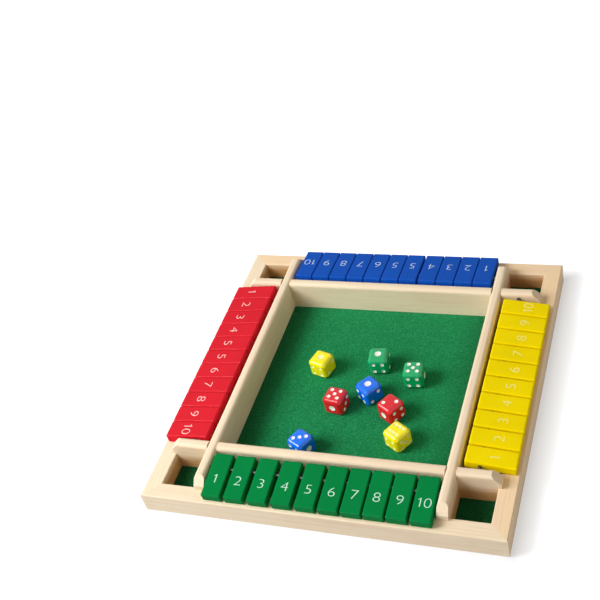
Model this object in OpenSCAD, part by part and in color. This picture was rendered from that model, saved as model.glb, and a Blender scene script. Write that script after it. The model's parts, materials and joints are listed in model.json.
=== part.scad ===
// Four-sided number-tile dice game: a square wooden board with a felt tray in the middle,
// four rows of tiles that flip over on steel rods, four corner pockets and eight dice.
// Millimetres, +Z up, origin at the centre of the underside.

/* [Board] */
// Outer width of the square board
board_w = 270; // [250:1:300]
// Width of a frame rail seen from above
rail_w = 13; // [10:0.5:16]
// Height of a frame rail
rail_h = 17; // [15:0.5:19]
// Rounding of a rail's upper edges
rail_edge = 1; // [0.3:0.1:1.5]
// Thickness of the plywood base
base_t = 1.8; // [1.5:0.1:4]
// How far the base reaches under the rails
rebate_w = 6.5; // [4:0.5:8]
// Thickness of the felt on the base
felt_t = 0.4; // [0.3:0.1:1.2]
// Play around the base and around the felt
sheet_gap = 0.2; // [0.1:0.05:0.5]

/* [Dividers] */
// Thickness of a divider
divider_t = 8; // [6:0.5:10]
// Height of a divider above the felt
divider_h = 25.8; // [24:0.2:28]
// Rounding of a divider's upper edges
divider_r = 3; // [1:0.5:3.5]
// Clear width between a rail and a divider
channel_w = 28; // [26:0.5:32]
// How far a divider's end laps over the rail
ear_lap = 2.5; // [1:0.5:4]
// Slanted corner at a divider's end
ear_chamfer = 6.5; // [3:0.5:8]
// Play on each side of a cross-lap joint
lap_gap = 0.05; // [0.02:0.01:0.2]

/* [Rods] */
// Diameter of a steel rod
rod_d = 3; // [2:0.25:3.5]
// Depth of a rod's blind seat in a divider
seat_depth = 5; // [3:0.5:5.5]
// Radial play of a rod in its seat
seat_gap = 0.02; // [0.01:0.01:0.05]
// Radial play of a tile on its rod
bore_gap = 0.08; // [0.03:0.01:0.1]

/* [Tiles] */
// Length of a tile
tile_l = 36; // [32:0.5:37]
// Thickness of a tile
tile_t = 7.25; // [6.5:0.25:8.5]
// Rounding of a tile's edges
tile_r = 1.1; // [0.5:0.1:2]
// Distance from the rod to a tile's inner end
tile_inner = 11; // [9:0.5:12]
// Tilt of a resting tile, outer end low
tile_tilt = 6; // [4:0.5:9]
// Number of tiles in the near row and in the right row
short_count = 10; // [8:1:10]
// Number of tiles in the far row and in the left row
long_count = 11; // [9:1:11]
// Gap between neighbouring tiles of a full row
tile_gap = 0.4; // [0.3:0.1:1]
// Gap between neighbouring tiles of the right row, as a share of the near row's gap
right_spread = 0.68; // [0.2:0.02:1]
// How far the right row stands towards the near side, as a share of its spare room
right_lean = 0.15; // [0:0.05:0.8]
// Gap between an end tile and the divider beside it
end_gap = 2; // [1:0.1:2.4]
// The same gap in the near row, whose tiles are spread out
near_end_gap = 1.4; // [0.4:0.1:2]
// How far the middle of the near row has slid to the right, as a share of that row's gap
near_slide = 1.35; // [0:0.05:1.8]
// Extra gap where the far row stands apart
far_break = 0.9; // [0:0.1:1]
// Number of far tiles on the first side of that gap
far_break_after = 4; // [1:1:8]

/* [Dice] */
// Width of a die
die_w = 16; // [14:0.5:17]
// Rounding of a die's edges
die_r = 3.3; // [1:0.1:3.5]
// Diameter of the ball that rounds a die's corners, as a share of the die's width
die_ball = 1.4; // [1.36:0.01:1.65]
// Diameter of a pip
pip_d = 3; // [2:0.1:3.6]
// Diameter of the single pip of number 1
ace_d = 5.2; // [3:0.1:6]
// Depth of a pip
pip_depth = 0.45; // [0.2:0.05:0.8]
// Distance between the middles of two pips
pip_pitch = 3.5; // [3.1:0.1:4.2]

/* [Hidden] */
$fn = 64;
// Height left under what rests on something else
rest_gap = 0.05;
// Overshoot of a cut past the face that it opens
cut = 1;

floor_z = base_t + felt_t;
divider_top = floor_z + divider_h;
rail_in = board_w / 2 - rail_w;
divider_out = rail_in - channel_w;
divider_c = divider_out - divider_t / 2;
tray_half = divider_out - divider_t;
divider_reach = rail_in + ear_lap;
lap_z = floor_z + divider_h / 2;

rod_c = rail_in - channel_w / 2;
tile_outer = tile_l - tile_inner;
rod_z = rail_h + rest_gap + (tile_outer - tile_r) * sin(tile_tilt)
    + (tile_t / 2 - tile_r) * cos(tile_tilt) + tile_r;
rod_reach = tray_half + seat_depth;
row_len = 2 * tray_half;
most = max(short_count, long_count);
tile_w = (row_len - 2 * end_gap - (most - 1) * tile_gap) / most;
near_gap = (row_len - 2 * near_end_gap - short_count * tile_w) / (short_count - 1);
right_gap = right_spread * near_gap;
right_shift = -right_lean * (short_count - 1) * (near_gap - right_gap) / 2;
far_gap = tile_gap - far_break / (long_count - 1);

WOOD = [0.93, 0.86, 0.74];
FELT = [0.08, 0.46, 0.25];
STEEL = [0.75, 0.76, 0.78];
GREEN = [0.02, 0.5, 0.25];
YELLOW = [0.97, 0.84, 0.05];
BLUE = [0.1, 0.33, 0.72];
RED = [0.88, 0.16, 0.2];

// A row: name, turn about Z from the right-hand side, colour, number of tiles, gap,
// shift, extra gap, the number of tiles before it, and how far the row's middle has
// slid. Tiles count along local +Y.
ROWS = [
    ["green", -90, GREEN, short_count, near_gap, 0, 0, 0, near_slide * near_gap],
    ["yellow", 0, YELLOW, short_count, right_gap, right_shift, 0, 0, 0],
    ["blue", 90, BLUE, long_count, far_gap, 0, far_break, far_break_after, 0],
    ["red", 180, RED, long_count, tile_gap, 0, 0, 0, 0],
];

// A die: name, colour, place as shares of the tray's half width, turn about Z,
// number on top and quarter turns about that number.
DICE = [
    ["yellow_die_1", YELLOW, [-0.44, 0.16], 74, 1, 0],
    ["yellow_die_2", YELLOW, [0.47, -0.61], 58, 6, 0],
    ["green_die_1", GREEN, [0.09, 0.25], 7, 1, 1],
    ["green_die_2", GREEN, [0.45, 0.11], 5, 5, 1],
    ["blue_die_1", BLUE, [0.09, -0.12], 50, 1, 0],
    ["blue_die_2", BLUE, [-0.35, -0.79], 62, 3, 1],
    ["red_die_1", RED, [-0.18, -0.27], 81, 5, 3],
    ["red_die_2", RED, [0.34, -0.31], 57, 2, 1],
];

// Turn that brings each number of a die, from 1 to 6, to the top
TOP_TURNS = [[0, 0, 0], [-90, 0, 0], [0, -90, 0], [0, 90, 0], [90, 0, 0], [180, 0, 0]];

// Pips of each number, in steps of the pip pitch
PIPS = [
    [[0, 0]],
    [[-1, -1], [1, 1]],
    [[-1, -1], [0, 0], [1, 1]],
    [[-1, -1], [-1, 1], [1, -1], [1, 1]],
    [[-1, -1], [-1, 1], [1, -1], [1, 1], [0, 0]],
    [[-1, -1], [-1, 0], [-1, 1], [1, -1], [1, 0], [1, 1]],
];

function tile_name(row, i) = str(row[0], "_tile_", i + 1);

// Middle of a row's tile i, along the row
function tile_y(row, i) =
    let (n = row[3], pitch = tile_w + row[4], run = (n - 1) * pitch + row[6])
    row[5] + i * pitch - run / 2 + (row[6] > 0 && i >= row[7] ? row[6] : 0)
    + row[8] * pow(sin(180 * i / (n - 1)), 2);

// Rectangle with round corners, centred
module soft_rect(w, h, r) {
    square([w - 2 * r, h], center = true);
    square([w, h - 2 * r], center = true);
    for (sx = [-1, 1], sy = [-1, 1])
        translate([sx * (w / 2 - r), sy * (h / 2 - r)]) circle(r);
}

// Block with twelve round edges, centred: l along X, w along Y, t along Z
module soft_block(l, w, t, r) {
    intersection() {
        linear_extrude(t, center = true) soft_rect(l, w, r);
        rotate([90, 0, 0]) linear_extrude(w, center = true) soft_rect(l, t, r);
        rotate([90, 0, 90]) linear_extrude(l, center = true) soft_rect(w, t, r);
    }
}

// Plywood sheet let into the rails from below
module base_board() {
    w = 2 * (rail_in + rebate_w - sheet_gap);
    color(WOOD) translate([-w / 2, -w / 2, 0]) cube([w, w, base_t]);
}

// Felt over the whole base, under the dividers
module felt() {
    w = 2 * (rail_in - sheet_gap);
    color(FELT) translate([-w / 2, -w / 2, base_t]) cube([w, w, felt_t]);
}

// Cross-section of a rail: X outward from its inner face, Y up
module rail_section() {
    polygon([
        [rebate_w, 0], [rail_w, 0], [rail_w, rail_h - rail_edge],
        [0, rail_h - rail_edge], [0, base_t], [rebate_w, base_t],
    ]);
    translate([rail_edge, base_t]) square([rail_w - 2 * rail_edge, rail_h - base_t]);
    for (x = [rail_edge, rail_w - rail_edge])
        translate([x, rail_h - rail_edge]) circle(rail_edge);
}

// Rail on the right-hand side, mitred at both ends
module rail() {
    color(WOOD) intersection() {
        translate([rail_in, 0, 0]) rotate([90, 0, 0])
            linear_extrude(board_w, center = true) rail_section();
        linear_extrude(rail_h)
            polygon([[0, 0], [board_w / 2, -board_w / 2], [board_w / 2, board_w / 2]]);
    }
}

// Cross-section of a divider: X across, Y up from the felt
module divider_section() {
    translate([-divider_t / 2, 0]) square([divider_t, divider_h - divider_r]);
    translate([divider_r - divider_t / 2, 0])
        square([divider_t - 2 * divider_r, divider_h]);
    for (s = [-1, 1])
        translate([s * (divider_t / 2 - divider_r), divider_h - divider_r]) circle(divider_r);
}

// Side outline of a divider: X along it, Y up from the felt
module divider_side() {
    over = rail_h + rest_gap - floor_z;
    polygon([
        [-rail_in, 0], [rail_in, 0], [rail_in, over], [divider_reach, over],
        [divider_reach, divider_h - ear_chamfer], [divider_reach - ear_chamfer, divider_h],
        [ear_chamfer - divider_reach, divider_h], [-divider_reach, divider_h - ear_chamfer],
        [-divider_reach, over], [-rail_in, over],
    ]);
}

// Divider along Y at x = 0, with a blind rod seat in one face near each end.
// side is 1 where the seats open towards +X, and -1 where they open towards -X.
module divider(side) {
    difference() {
        translate([0, 0, floor_z]) intersection() {
            rotate([90, 0, 0])
                linear_extrude(2 * divider_reach, center = true) divider_section();
            rotate([90, 0, 90]) linear_extrude(divider_t, center = true) divider_side();
        }
        for (s = [-1, 1])
            translate([side * (divider_t / 2 + cut), s * rod_c, rod_z])
                rotate([0, -90 * side, 0])
                    cylinder(h = seat_depth + cut, r = rod_d / 2 + seat_gap);
    }
}

// Notches of both cross-lap joints of a divider, from height z0 up to z1
module lap_notches(z0, z1) {
    w = divider_t + 2 * lap_gap;
    for (s = [-1, 1])
        translate([-divider_t, s * divider_c - w / 2, z0]) cube([2 * divider_t, w, z1 - z0]);
}

// Divider that runs from front to back and is whole on top
module long_divider(side) {
    color(WOOD) difference() {
        divider(side);
        lap_notches(floor_z - cut, lap_z);
    }
}

// Divider that runs from side to side and is cut open from above
module short_divider(side) {
    color(WOOD) difference() {
        divider(side);
        lap_notches(lap_z, divider_top + cut);
    }
}

module divider_left() { translate([-divider_c, 0, 0]) long_divider(1); }
module divider_right() { translate([divider_c, 0, 0]) long_divider(-1); }

module cross_dividers() {
    for (s = [-1, 1])
        translate([0, s * divider_c, 0]) rotate([0, 0, 90]) short_divider(-s);
}

// Four rods, one through each row of tiles
module tile_rods() {
    play = 2 * sheet_gap;
    color(STEEL) for (row = ROWS)
        rotate([0, 0, row[1]]) translate([rod_c, 0, rod_z]) rotate([90, 0, 0])
            cylinder(h = 2 * rod_reach - play, r = rod_d / 2, center = true);
}

// One tile of a row, resting with its outer end on the rail
module tile(row, i) {
    color(row[2]) rotate([0, 0, row[1]])
        translate([rod_c, tile_y(row, i), rod_z]) rotate([0, tile_tilt, 0])
            difference() {
                translate([tile_l / 2 - tile_inner, 0, 0])
                    soft_block(tile_l, tile_w, tile_t, tile_r);
                rotate([90, 0, 0])
                    cylinder(h = tile_w + 2 * cut, r = rod_d / 2 + bore_gap, center = true);
            }
}

// Pips of number n, sunk into the top face of a die centred at the origin
module pips(n) {
    reach = (n == 1 ? ace_d : pip_d) / 2;
    ball = (pow(reach, 2) + pow(pip_depth, 2)) / (2 * pip_depth);
    for (p = PIPS[n - 1])
        translate([p[0] * pip_pitch, p[1] * pip_pitch, die_w / 2 - pip_depth + ball])
            sphere(ball);
}

module die(d) {
    half = tray_half;
    color(d[1]) translate([d[2][0] * half, d[2][1] * half, floor_z + rest_gap + die_w / 2])
        rotate([0, 0, d[3] + 90 * d[5]]) rotate(TOP_TURNS[d[4] - 1])
            difference() {
                intersection() {
                    soft_block(die_w, die_w, die_w, die_r);
                    sphere(d = die_w * die_ball);
                }
                pips(1);
                rotate([180, 0, 0]) pips(6);
                rotate([90, 0, 0]) pips(2);
                rotate([-90, 0, 0]) pips(5);
                rotate([0, 90, 0]) pips(3);
                rotate([0, -90, 0]) pips(4);
            }
}

base_board();
felt();
rotate([0, 0, -90]) rail();  // rail_near
rail();  // rail_right
rotate([0, 0, 90]) rail();  // rail_far
rotate([0, 0, 180]) rail();  // rail_left
divider_left();
divider_right();
cross_dividers();
tile_rods();
for (row = ROWS) for (i = [0 : row[3] - 1])
    tile(row, i);
for (d = DICE)
    die(d);
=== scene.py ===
import json
import math
import bpy
from mathutils import Matrix, Vector


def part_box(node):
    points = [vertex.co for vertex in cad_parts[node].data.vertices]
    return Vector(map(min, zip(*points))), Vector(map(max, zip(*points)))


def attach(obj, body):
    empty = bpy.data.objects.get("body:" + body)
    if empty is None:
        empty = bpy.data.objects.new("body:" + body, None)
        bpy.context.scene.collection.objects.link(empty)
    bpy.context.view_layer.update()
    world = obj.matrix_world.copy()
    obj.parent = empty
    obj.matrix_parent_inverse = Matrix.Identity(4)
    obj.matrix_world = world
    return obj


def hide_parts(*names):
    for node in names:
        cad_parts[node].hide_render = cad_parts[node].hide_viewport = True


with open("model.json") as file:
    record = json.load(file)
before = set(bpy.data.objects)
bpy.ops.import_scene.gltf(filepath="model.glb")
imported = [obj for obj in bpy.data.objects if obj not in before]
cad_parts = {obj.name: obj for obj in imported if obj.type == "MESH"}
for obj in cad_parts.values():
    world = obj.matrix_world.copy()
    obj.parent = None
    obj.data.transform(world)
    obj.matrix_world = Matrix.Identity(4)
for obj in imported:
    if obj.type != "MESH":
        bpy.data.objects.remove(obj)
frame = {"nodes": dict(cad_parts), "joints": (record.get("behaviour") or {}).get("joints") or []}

nodes = frame["nodes"]
joints = {joint["child"]: joint for joint in frame["joints"]}
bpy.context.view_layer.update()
mm = 0.001
up = Vector((0, 0, 1))
rows = ["green", "yellow", "blue", "red"]
print("frame loaded:", len(nodes), "nodes")


def srgb(red, green, blue):
    # a colour given in screen values, 0 to 255, made linear
    def linear(v):
        v = v / 255
        return v / 12.92 if v <= 0.04045 else ((v + 0.055) / 1.055) ** 2.4
    return (linear(red), linear(green), linear(blue), 1.0)


def dimmed(colour, share):
    return tuple(c * share for c in colour[:3]) + (1.0,)


def pickOnly(piece):
    bpy.ops.object.select_all(action="DESELECT")
    piece.select_set(True)
    bpy.context.view_layer.objects.active = piece


def applyPlace(piece):
    # the place goes into the mesh, and the object stays at the origin
    pickOnly(piece)
    bpy.ops.object.transform_apply(location=True, rotation=True, scale=True)


def applyModifiers(piece):
    pickOnly(piece)
    for modifier in list(piece.modifiers):
        bpy.ops.object.modifier_apply(modifier=modifier.name)


def copyOf(piece, name):
    twin = piece.copy()
    twin.data = piece.data.copy()
    twin.name = twin.data.name = name
    bpy.context.collection.objects.link(twin)
    return twin


def placed(piece, origin, right, ahead):
    # puts a flat piece with its X along right and its Y along ahead
    matrix = Matrix((right, ahead, right.cross(ahead))).transposed().to_4x4()
    matrix.translation = origin
    piece.matrix_world = matrix
    applyPlace(piece)


def joined(pieces, name):
    bpy.ops.object.select_all(action="DESELECT")
    for piece in pieces:
        piece.select_set(True)
    bpy.context.view_layer.objects.active = pieces[0]
    if len(pieces) > 1:
        bpy.ops.object.join()
    pieces[0].name = pieces[0].data.name = name
    return pieces[0]


def dress(piece, material):
    piece.data.materials.clear()
    piece.data.materials.append(material)


class Wire:
    # one output of a node; arithmetic on it adds Math nodes
    def __init__(self, mix, socket):
        self.mix = mix
        self.socket = socket

    def maths(self, operation, *others):
        inputs = dict(enumerate((self,) + others))
        return self.mix.add("ShaderNodeMath", {"operation": operation}, inputs)

    def __add__(self, other):
        return self.maths("ADD", other)

    def __sub__(self, other):
        return self.maths("SUBTRACT", other)

    def __mul__(self, other):
        return self.maths("MULTIPLY", other)

    def __truediv__(self, other):
        return self.maths("DIVIDE", other)

    def __pow__(self, other):
        return self.maths("POWER", other)

    __radd__ = __add__


class Recipe:
    # a material or world being mixed
    def __init__(self, owner):
        owner.use_nodes = True
        self.owner = owner
        self.tree = owner.node_tree
        self.tree.nodes.clear()

    def add(self, kind, settings=None, inputs=None, output=0):
        node = self.tree.nodes.new(kind)
        for name, value in (settings or {}).items():
            if name == "stops":
                ramp = node.color_ramp
                while len(ramp.elements) < len(value):
                    ramp.elements.new(0.5)
                for element, (position, colour) in zip(ramp.elements, value):
                    element.position = position
                    element.color = colour
            else:
                setattr(node, name, value)
        for name, value in (inputs or {}).items():
            socket = node.inputs[name]
            if isinstance(value, Wire):
                self.tree.links.new(value.socket, socket)
            else:
                socket.default_value = value
        return Wire(self, node.outputs[output]) if len(node.outputs) else None

    def blend(self, amount, first, second):
        # two colours mixed
        return self.add("ShaderNodeMix", {"data_type": "RGBA", "clamp_factor": True},
                        {0: amount, 6: first, 7: second}, 2)

    def tint(self, amount, first, second):
        # the first colour multiplied by the second
        return self.add("ShaderNodeMix", {"data_type": "RGBA", "blend_type": "MULTIPLY",
                                          "clamp_factor": True}, {0: amount, 6: first, 7: second}, 2)

    def noise(self, place, scale, detail=2.0, roughness=0.5, distortion=0.0):
        return self.add("ShaderNodeTexNoise", {}, {
            "Vector": place, "Scale": scale, "Detail": detail,
            "Roughness": roughness, "Distortion": distortion})

    def window(self, value, low, high):
        # value stretched so that low becomes 0 and high becomes 1, clamped
        return self.add("ShaderNodeMapRange", {"clamp": True},
                        {"Value": value, "From Min": low, "From Max": high})

    def objectPlace(self, stretch=(1, 1, 1), shift=(0, 0, 0), turn=0):
        # turned about Z first, so that the stretch follows the turned axes
        place = self.add("ShaderNodeTexCoord", {}, {}, "Object")
        if turn:
            place = self.add("ShaderNodeMapping", {}, {"Vector": place, "Rotation": (0, 0, turn)})
        return self.add("ShaderNodeMapping", {}, {
            "Vector": place, "Location": shift, "Scale": stretch})

    def inPockets(self, top, bottom):
        # 0 outside the corner pockets and above top, growing to 1 at bottom and below
        place = self.objectPlace()
        x, y, z = (self.add("ShaderNodeSeparateXYZ", {}, {0: place}, axis) for axis in "XYZ")
        x, y = x.maths("ABSOLUTE"), y.maths("ABSOLUTE")
        past = self.window(x.maths("MINIMUM", y), pocket["inner"] - pocket["edge"], pocket["inner"])
        within = self.window(x.maths("MAXIMUM", y), pocket["outer"] + pocket["edge"], pocket["outer"])
        return past * within * self.window(z, top, bottom)

    def seen(self):
        # 1 for what the camera sees, also in metal and through glass
        camera, glossy, clear = (self.add("ShaderNodeLightPath", {}, {}, "Is %s Ray" % kind)
                                 for kind in ("Camera", "Glossy", "Transmission"))
        return camera.maths("MAXIMUM", glossy).maths("MAXIMUM", clear)

    def finish(self, shader):
        self.add("ShaderNodeOutputMaterial", {}, {"Surface": shader})
        return self.owner


def newRecipe(name):
    return Recipe(bpy.data.materials.new(name))


pocket = {
    # from the middle of the board to just inside the walls of a corner pocket
    "inner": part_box("divider_right")[1].x - 0.1 * mm,
    "outer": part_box("rail_right")[1].x - 12.9 * mm,
    "edge": 0.4 * mm,
    # heights between which the painted shade on the pocket walls and on the pocket felt grows
    "wallShading": (16.8 * mm, 10 * mm),
    "feltShading": (17 * mm, 16 * mm),
}
wood = {
    "pale": srgb(244, 228, 200),
    "warm": srgb(248, 219, 177),      # the warmer boards at the far and right sides
    "line": srgb(226, 196, 158),      # late wood, the darker side of a ring
    "streak": srgb(206, 170, 128),    # short fine streaks along the grain
    "blush": srgb(239, 212, 184),     # broad warmer patches
    "pocketWallShade": srgb(214, 186, 150),   # painted shade: darkens and browns the pocket walls low down, where shade falls
    "ringPitch": 3.1 * mm,
    "roughness": 0.52,
}


def pine(name, body, along, heart):
    # along is the turn about Z that lays the grain on X; heart is where the rings centre
    mix = newRecipe(name)
    grain = mix.objectPlace((1, 1, 1), heart, -along)
    wobble = mix.noise(mix.objectPlace((5, 28, 28), heart, -along), 1.0, 2.0)
    across = mix.add("ShaderNodeSeparateXYZ", {}, {0: grain}, "Y")
    deep = mix.add("ShaderNodeSeparateXYZ", {}, {0: grain}, "Z")
    reach = (across * across + deep * deep).maths("SQRT") + (wobble - 0.5) * 0.02
    phase = (reach / wood["ringPitch"]).maths("FRACT")
    late = mix.window(phase, 0.35, 1.0) ** 2.2
    late = late * mix.window(phase, 1.0, 0.93)
    fine = mix.noise(mix.objectPlace((14, 700, 700), heart, -along), 1.0, 3.0, 0.6)
    short = mix.noise(mix.objectPlace((60, 1300, 1300), heart, -along), 1.0, 2.0, 0.5)
    patch = mix.noise(mix.objectPlace((9, 34, 34), heart, -along), 1.0, 2.0)
    colour = mix.blend(mix.window(patch, 0.38, 0.66) * 0.6, wood[body], wood["blush"])
    colour = mix.blend(late * 0.24, colour, wood["line"])
    colour = mix.blend(mix.window(fine, 0.46, 0.74) * 0.4, colour, wood["line"])
    colour = mix.blend(mix.window(short, 0.6, 0.78) * 0.35, colour, wood["streak"])
    # painted shade: the pocket walls grow darker and browner towards the felt
    colour = mix.tint(mix.inPockets(*pocket["wallShading"]), colour, wood["pocketWallShade"])
    bump = mix.add("ShaderNodeBump", {}, {
        "Strength": 0.25, "Distance": 0.06 * mm, "Height": fine + late * 0.4})
    shader = mix.add("ShaderNodeBsdfPrincipled", {}, {
        "Base Color": colour, "Roughness": wood["roughness"] + (fine - 0.5) * 0.16,
        "Normal": bump, "Specular IOR Level": 0.35})
    return mix.finish(shader)


quarter = math.pi / 2
paleAcross = pine("paleAcross", "pale", 0, (0.02, 0.055, 0.021))
warmAcross = pine("warmAcross", "warm", 0, (0.31, 0.153, 0.034))
paleDeep = pine("paleDeep", "pale", quarter, (0.12, 0.071, 0.026))
warmDeep = pine("warmDeep", "warm", quarter, (0.47, -0.103, 0.03))
paleInner = pine("paleInner", "pale", quarter, (0.29, -0.062, 0.031))


def plywoodSheet():
    mix = newRecipe("plywood")
    figure = mix.noise(mix.objectPlace((4, 46, 46)), 1.0, 3.0, 0.5, 0.6)
    fine = mix.noise(mix.objectPlace((30, 1100, 1100)), 1.0, 2.0)
    rings = ((figure * 9.0).maths("FRACT") - 0.5).maths("ABSOLUTE")
    colour = mix.blend(mix.window(rings, 0.1, 0.5) * 0.5, srgb(226, 200, 160), srgb(203, 168, 122))
    colour = mix.blend(mix.window(fine, 0.5, 0.8) * 0.3, colour, srgb(176, 138, 96))
    bump = mix.add("ShaderNodeBump", {}, {"Strength": 0.3, "Distance": 0.08 * mm, "Height": fine})
    shader = mix.add("ShaderNodeBsdfPrincipled", {}, {
        "Base Color": colour, "Roughness": 0.6 + (fine - 0.5) * 0.2, "Normal": bump,
        "Specular IOR Level": 0.3})
    return mix.finish(shader)


dress(nodes["base_board"], plywoodSheet())
dress(nodes["rail_near"], paleAcross)
dress(nodes["rail_far"], warmAcross)
dress(nodes["rail_left"], paleDeep)
dress(nodes["rail_right"], warmDeep)
dress(nodes["divider_left"], paleDeep)
dress(nodes["divider_right"], paleInner)
dress(nodes["cross_dividers"], paleAcross)
print("wood finished")


def drawnSteel():
    mix = newRecipe("drawnSteel")
    scratch = mix.noise(mix.objectPlace((160, 160, 4000)), 1.0, 2.0)
    colour = mix.blend(mix.window(scratch, 0.4, 0.7) * 0.4, srgb(88, 90, 90), srgb(58, 60, 60))
    shader = mix.add("ShaderNodeBsdfPrincipled", {}, {
        "Base Color": colour, "Metallic": 1.0, "Roughness": 0.22 + scratch * 0.2})
    return mix.finish(shader)


dress(nodes["tile_rods"], drawnSteel())


felt = {
    "deep": srgb(4, 100, 52),
    "body": srgb(12, 130, 72),
    "fibre": srgb(84, 206, 148),
    "cell": 1.6 * mm,        # grid of the modelled nap
    "pocketShade": srgb(160, 160, 150),  # painted shade: darkens the felt in the corner pockets
    "wallShade": srgb(176, 184, 176),    # painted shadow: darkens the felt beside the left and right walls
    "wallBand": (62 * mm, 86 * mm),      # where that painted shadow begins, and the tray's own edge
    "bandEnd": 1 * mm,       # how far past the tray's edge the band fades out
    "nap": 0.05 * mm,        # height of the modelled nap
    "tuft": 2.2 * mm,        # width of its tufts
    "thickness": 0.3 * mm,
    "smoothUpTo": math.radians(60),
}


def feltCloth():
    mix = newRecipe("felt")
    place = mix.objectPlace()
    tuft = mix.noise(place, 760.0, 3.0, 0.65, 0.3)
    hair = mix.noise(place, 1500.0, 2.0, 0.6, 0.8)
    cloud = mix.noise(place, 26.0, 2.0)
    colour = mix.blend(mix.window(tuft, 0.36, 0.6), felt["deep"], felt["body"])
    colour = mix.blend(mix.window(cloud, 0.35, 0.7) * 0.25, colour, felt["body"])
    colour = mix.blend(mix.window(hair, 0.5, 0.72) * 0.5, colour, felt["fibre"])
    sideways = mix.add("ShaderNodeSeparateXYZ", {}, {0: place}, "X").maths("ABSOLUTE")
    begin, edge = felt["wallBand"]
    band = mix.window(sideways, begin, edge) * mix.window(sideways, edge + felt["bandEnd"], edge)
    # painted shadow on the felt along the left and right walls of the tray
    colour = mix.tint(band, colour, felt["wallShade"])
    # painted shade on the felt in the corner pockets
    colour = mix.tint(mix.inPockets(*pocket["feltShading"]), colour, felt["pocketShade"])
    bump = mix.add("ShaderNodeBump", {}, {
        "Strength": 0.7, "Distance": 0.3 * mm, "Height": tuft * 0.6 + hair * 0.5})
    shader = mix.add("ShaderNodeBsdfPrincipled", {}, {
        "Base Color": colour, "Roughness": 0.95, "Normal": bump,
        "Specular IOR Level": 0.08, "Sheen Weight": 0.12, "Sheen Roughness": 0.6,
        "Sheen Tint": srgb(150, 225, 175)})
    return mix.finish(shader)


def layFelt():
    low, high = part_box("felt")
    width = high.x - low.x
    cells = round(width / felt["cell"])
    bpy.ops.object.select_all(action="DESELECT")
    bpy.ops.mesh.primitive_grid_add(x_subdivisions=cells, y_subdivisions=cells, size=width,
                                    location=(0, 0, high.z - felt["nap"]))
    cloth = bpy.context.object
    cloth.name = cloth.data.name = "felt_lining"
    applyPlace(cloth)
    nap = bpy.data.textures.new("nap", "CLOUDS")
    nap.noise_scale = felt["tuft"]
    lift = cloth.modifiers.new("nap", "DISPLACE")
    lift.texture = nap
    lift.texture_coords = "LOCAL"
    lift.direction = "Z"
    lift.strength = 2 * felt["nap"]
    back = cloth.modifiers.new("thickness", "SOLIDIFY")
    back.thickness = felt["thickness"]
    back.offset = -1
    applyModifiers(cloth)
    bpy.ops.object.shade_smooth_by_angle(angle=felt["smoothUpTo"])
    dress(cloth, feltCloth())
    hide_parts("felt")
    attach(cloth, "board")


layFelt()
print("felt laid")


tile = {
    "tilt": math.radians(6),
    "thickness": 7.25 * mm,
    # from the rod to the middle of a row's numbers
    "numberOut": {"green": 10.6 * mm, "yellow": 9.4 * mm, "blue": 9.4 * mm, "red": 9.4 * mm},
    "numberSize": 10.8 * mm,
    "numberWidth": 1.2,          # drawn wider than the plain font
    "numberSteps": 8,            # points along each curve of a number
    "numberSpacing": 0.8,
    "numberSlim": -0.21 * mm,    # takes the strokes in
    "numberPaint": 0.03 * mm,    # how far the number's paint stands proud
    "flag": 2.1 * mm,            # length of the flag of a 1
    "flagSlope": math.radians(38),
    "stroke": 0.55 * mm,         # width of a drawn line
}
paints = {
    "green": (srgb(0, 130, 64), srgb(196, 236, 216)),
    "yellow": (srgb(255, 229, 0), srgb(255, 246, 150)),
    "blue": (srgb(22, 86, 193), srgb(196, 218, 246)),
    "red": (srgb(217, 36, 50), srgb(255, 208, 206)),
}
# what the tiles of each row read, from the first tile to the last
numbers = {
    "green": [1, 2, 3, 4, 5, 6, 7, 8, 9, 10],
    "yellow": [1, 2, 3, 4, 5, 6, 7, 8, 9, 10],
    "blue": [1, 2, 3, 4, 5, 5, 6, 7, 8, 9, 10],
    "red": [1, 2, 3, 4, 5, 5, 6, 7, 8, 9, 10],
}


def tilePaint(name, colour):
    mix = newRecipe(name)
    place = mix.objectPlace()
    peel = mix.noise(place, 380.0, 2.0)
    cloud = mix.noise(place, 30.0, 2.0)
    tone = mix.blend(mix.window(cloud, 0.35, 0.7) * 0.35, colour, dimmed(colour, 0.8))
    bump = mix.add("ShaderNodeBump", {}, {
        "Strength": 0.12, "Distance": 0.05 * mm, "Height": peel})
    shader = mix.add("ShaderNodeBsdfPrincipled", {}, {
        "Base Color": tone, "Roughness": 0.34 + (cloud - 0.5) * 0.12, "Normal": bump,
        "Specular IOR Level": 0.0, "Coat Weight": 0.1, "Coat Roughness": 0.1})
    return mix.finish(shader)


def printInk(name, colour):
    mix = newRecipe(name)
    thin = mix.noise(mix.objectPlace(), 900.0, 2.0)
    tone = mix.blend(mix.window(thin, 0.4, 0.8) * 0.5, colour, dimmed(colour, 0.86))
    shader = mix.add("ShaderNodeBsdfPrincipled", {}, {"Base Color": tone, "Roughness": 0.4})
    return mix.finish(shader)


def withFlag(number):
    # the flag leans down from the top left corner of the 1
    left = min(v.co.x for v in number.data.vertices)
    top = max(v.co.y for v in number.data.vertices if v.co.x < left + tile["stroke"])
    bpy.ops.object.select_all(action="DESELECT")
    bpy.ops.mesh.primitive_cube_add(size=1, location=(-tile["flag"] / 2, -tile["stroke"] / 2, 0))
    flag = bpy.context.object
    flag.scale = (tile["flag"], tile["stroke"], 2 * tile["numberPaint"])
    applyPlace(flag)
    flag.location = (left + tile["stroke"] / 2, top, 0)
    flag.rotation_euler = (0, 0, tile["flagSlope"])
    applyPlace(flag)
    return joined([number, flag], number.name)


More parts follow.
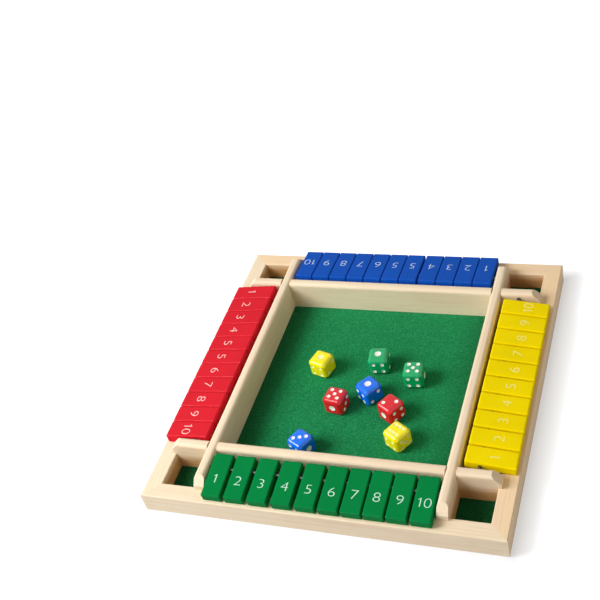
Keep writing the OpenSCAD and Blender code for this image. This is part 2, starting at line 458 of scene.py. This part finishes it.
def modelNumber(text):
    bpy.ops.object.select_all(action="DESELECT")
    bpy.ops.object.text_add(location=(0, 0, 0))
    number = bpy.context.object
    number.name = "number_" + text
    number.data.body = text
    number.data.size = tile["numberSize"]
    number.data.offset = tile["numberSlim"]
    number.data.extrude = tile["numberPaint"]
    number.data.resolution_u = tile["numberSteps"]
    number.data.align_x = "CENTER"
    number.data.align_y = "CENTER"
    number.data.space_character = tile["numberSpacing"]
    bpy.ops.object.convert(target="MESH")
    number.scale.x = tile["numberWidth"]
    applyPlace(number)
    return withFlag(number) if text[0] == "1" else number


def paintRows():
    patterns = {n: modelNumber(str(n)) for n in range(1, 11)}
    for row in rows:
        paint, ink = paints[row]
        coat = tilePaint(row + "TilePaint", paint)
        numberInk = printInk(row + "NumberInk", ink)
        for i, n in enumerate(numbers[row]):
            body = row + "_tile_%d" % (i + 1)
            dress(nodes[body], coat)
            low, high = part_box(body)
            joint = joints[body]
            sideways = -Vector(joint["axis"])
            outward = sideways.cross(up)
            rod = Vector(joint["pos_m"])
            rod += sideways * ((low + high) / 2 - rod).dot(sideways)
            slope = outward * math.cos(tile["tilt"]) - up * math.sin(tile["tilt"])
            top = sideways.cross(-slope).normalized()
            number = copyOf(patterns[n], body + "_number")
            placed(number, rod + slope * tile["numberOut"][row] + top * (tile["thickness"] / 2),
                   sideways, -slope)
            dress(number, numberInk)
            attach(number, body)
    for pattern in patterns.values():
        bpy.data.objects.remove(pattern)


paintRows()
print("tiles painted")


die = {
    "width": 16 * mm,
    "pip": 3.0 * mm,
    "ace": 5.2 * mm,
    "pipDepth": 0.45 * mm,
    "pipPitch": 3.5 * mm,
    "paint": 0.05 * mm,
    "sink": 0.01 * mm,       # how far the paint starts below the plastic
    "rings": 64,             # of the ball that a pip's paint is cut from
    "segments": 28,
    "smoothUpTo": math.radians(50),
}
plastics = {
    "yellow": srgb(255, 244, 0),
    "green": srgb(8, 170, 102),
    "blue": srgb(2, 116, 252),
    "red": srgb(226, 22, 38),
}
pipPaints = {
    "yellow": srgb(255, 250, 172),
    "green": srgb(250, 250, 246),
    "blue": srgb(250, 250, 246),
    "red": srgb(250, 250, 246),
}
# each die's turn about Z, the number on top and the quarter turns about that number
throws = {
    "yellow_die_1": (74, 1, 0), "yellow_die_2": (58, 6, 0),
    "green_die_1": (7, 1, 1), "green_die_2": (5, 5, 1),
    "blue_die_1": (50, 1, 0), "blue_die_2": (62, 3, 1),
    "red_die_1": (81, 5, 3), "red_die_2": (57, 2, 1),
}
# the turn, about X and Y, that brings a number to the top
topTurns = {1: (0, 0), 2: (-90, 0), 3: (0, -90), 4: (0, 90), 5: (90, 0), 6: (180, 0)}
# the turn from the top to each number's own face
faceTurns = {1: (0, 0), 2: (90, 0), 3: (0, 90), 4: (0, -90), 5: (-90, 0), 6: (180, 0)}
spots = {
    1: [(0, 0)],
    2: [(-1, -1), (1, 1)],
    3: [(-1, -1), (0, 0), (1, 1)],
    4: [(-1, -1), (-1, 1), (1, -1), (1, 1)],
    5: [(-1, -1), (-1, 1), (1, -1), (1, 1), (0, 0)],
    6: [(-1, -1), (-1, 0), (-1, 1), (1, -1), (1, 0), (1, 1)],
}


def turned(angles):
    return (Matrix.Rotation(math.radians(angles[1]), 4, "Y")
            @ Matrix.Rotation(math.radians(angles[0]), 4, "X"))


def diePlastic(name, colour):
    mix = newRecipe(name)
    swirl = mix.noise(mix.objectPlace(), 90.0, 3.0, 0.5, 1.5)
    tone = mix.blend(mix.window(swirl, 0.35, 0.7) * 0.3, colour, dimmed(colour, 0.85))
    shader = mix.add("ShaderNodeBsdfPrincipled", {}, {
        "Base Color": tone, "Roughness": 0.16 + (swirl - 0.5) * 0.06,
        "Coat Weight": 0.25, "Coat Roughness": 0.05, "Specular IOR Level": 0.35})
    return mix.finish(shader)


def modelPip(width, name):
    # a skin of paint that follows the dent
    ball = ((width / 2) ** 2 + die["pipDepth"] ** 2) / (2 * die["pipDepth"])
    middle = ball - die["pipDepth"]
    bpy.ops.object.select_all(action="DESELECT")
    bpy.ops.mesh.primitive_uv_sphere_add(
        segments=die["segments"], ring_count=die["rings"], radius=ball - die["sink"],
        location=(0, 0, middle))
    pip = bpy.context.object
    pip.name = name
    applyPlace(pip)
    bpy.ops.object.mode_set(mode="EDIT")
    bpy.ops.mesh.select_all(action="SELECT")
    bpy.ops.mesh.bisect(plane_co=(0, 0, -die["sink"]), plane_no=(0, 0, 1), clear_outer=True)
    bpy.ops.mesh.select_all(action="SELECT")
    bpy.ops.mesh.flip_normals()
    bpy.ops.object.mode_set(mode="OBJECT")
    skin = pip.modifiers.new("paint", "SOLIDIFY")
    skin.thickness = die["paint"]
    skin.offset = 1
    applyModifiers(pip)
    bpy.ops.object.shade_smooth_by_angle(angle=die["smoothUpTo"])
    return pip


def paintDice():
    small = modelPip(die["pip"], "smallPip")
    large = modelPip(die["ace"], "largePip")
    for row in rows:
        plastic = diePlastic(row + "DiePlastic", plastics[row])
        pipPaint = printInk(row + "PipPaint", pipPaints[row])
        for i in (1, 2):
            body = row + "_die_%d" % i
            dress(nodes[body], plastic)
            low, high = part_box(body)
            middle = (low + high) / 2
            middle.z = low.z + die["width"] / 2
            yaw, top, quarters = throws[body]
            whole = (Matrix.Translation(middle)
                     @ Matrix.Rotation(math.radians(yaw + 90 * quarters), 4, "Z")
                     @ turned(topTurns[top]))
            dots = []
            for face, places in spots.items():
                for x, y in places:
                    dot = copyOf(large if face == 1 else small, "dot")
                    dot.matrix_world = (whole @ turned(faceTurns[face]) @ Matrix.Translation(
                        (x * die["pipPitch"], y * die["pipPitch"], die["width"] / 2)))
                    applyPlace(dot)
                    dots.append(dot)
            pips = joined(dots, body + "_pips")
            dress(pips, pipPaint)
            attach(pips, body)
    bpy.data.objects.remove(small)
    bpy.data.objects.remove(large)


paintDice()
print("dice painted")


view = {
    "azimuth": math.radians(28.38),
    "elevation": math.radians(40.59),
    "roll": math.radians(-16.49),
    "target": Vector((-85.5, 96.2, 0)) * mm,
    "distance": 943.1 * mm,
    "lens": 64.93,
    "sensor": 36.0,
    "nearest": 50 * mm,
}


def placeCamera():
    az, el, roll = view["azimuth"], view["elevation"], view["roll"]
    ahead = Vector((-math.sin(az) * math.cos(el), math.cos(az) * math.cos(el), -math.sin(el)))
    level = Vector((math.cos(az), math.sin(az), 0))
    lift = level.cross(ahead)
    right = level * math.cos(roll) + lift * math.sin(roll)
    above = lift * math.cos(roll) - level * math.sin(roll)
    camera = bpy.data.objects.new("camera", bpy.data.cameras.new("camera"))
    bpy.context.collection.objects.link(camera)
    camera.data.lens = view["lens"]
    camera.data.sensor_width = view["sensor"]
    camera.data.clip_start = view["nearest"]
    matrix = Matrix((right, above, -ahead)).transposed().to_4x4()
    matrix.translation = view["target"] - ahead * view["distance"]
    camera.matrix_world = matrix
    bpy.context.scene.camera = camera


placeCamera()


lamps = [
    # name, place, width, power and colour
    ("keyLamp", (-1.0, -0.5, 0.95), 0.85, 22.6, (1, 1, 1)),
    ("frontLamp", (-0.42, -1.3, 0.9), 0.3, 2.4, (1, 1, 1)),
    ("sideLamp", (1.2, -0.2, 0.7), 1.1, 1.9, (1, 0.86, 0.64)),
]


surround = {
    "soft": ((1, 0.92, 0.8, 1), 0.27),   # colour and strength that light the board
    "seen": ((1, 1, 1, 1), 1.0),         # and that the camera sees
}
paper = {
    "colour": (0.52, 0.54, 0.58, 1),
    "size": 6,
    "cells": 8,
    "below": 0.2 * mm,                   # how far it lies under the board
    "fade": (137 * mm, 177 * mm),        # from the middle, where its glow starts and is full
    "fadePower": 0.8,
    "glow": 4.6,
    "glowShare": (0.1, 0.16),            # at the board, and what is added farther away
}


def lightStudio():
    for name, place, width, power, colour in lamps:
        lamp = bpy.data.objects.new(name, bpy.data.lights.new(name, "AREA"))
        bpy.context.collection.objects.link(lamp)
        lamp.data.shape = "DISK"
        lamp.data.size = width
        lamp.data.energy = power
        lamp.data.color = colour
        lamp.location = place
        lamp.rotation_euler = (-Vector(place)).to_track_quat("-Z", "Y").to_euler()
    world = bpy.data.worlds.new("studio")
    bpy.context.scene.world = world
    mix = Recipe(world)
    shown = mix.seen()
    soft, white = (mix.add("ShaderNodeBackground", {}, {"Color": colour, "Strength": strength})
                   for colour, strength in (surround["soft"], surround["seen"]))
    both = mix.add("ShaderNodeMixShader", {}, {0: shown, 1: soft, 2: white})
    mix.add("ShaderNodeOutputWorld", {}, {"Surface": both})


def layFloor():
    bpy.ops.object.select_all(action="DESELECT")
    bpy.ops.mesh.primitive_grid_add(
        x_subdivisions=paper["cells"], y_subdivisions=paper["cells"], size=paper["size"],
        location=(0, 0, -paper["below"]))
    floor = bpy.context.object
    floor.name = "floor"
    mix = newRecipe("paperFloor")
    matt = mix.add("ShaderNodeBsdfDiffuse", {}, {"Color": paper["colour"]})
    place = mix.objectPlace()
    reach = [mix.add("ShaderNodeSeparateXYZ", {}, {0: place}, axis).maths("ABSOLUTE")
             for axis in ("X", "Y")]
    far = reach[0].maths("MAXIMUM", reach[1])
    away = mix.window(far, *paper["fade"]) ** paper["fadePower"]
    glow = mix.add("ShaderNodeEmission", {}, {"Color": (1, 1, 1, 1), "Strength": paper["glow"]})
    near, added = paper["glowShare"]
    share = mix.seen() * (away * added + near)
    both = mix.add("ShaderNodeMixShader", {}, {0: share, 1: matt, 2: glow})
    dress(floor, mix.finish(both))


lightStudio()
layFloor()
bpy.context.scene.view_settings.view_transform = "Standard"
print("studio lit")
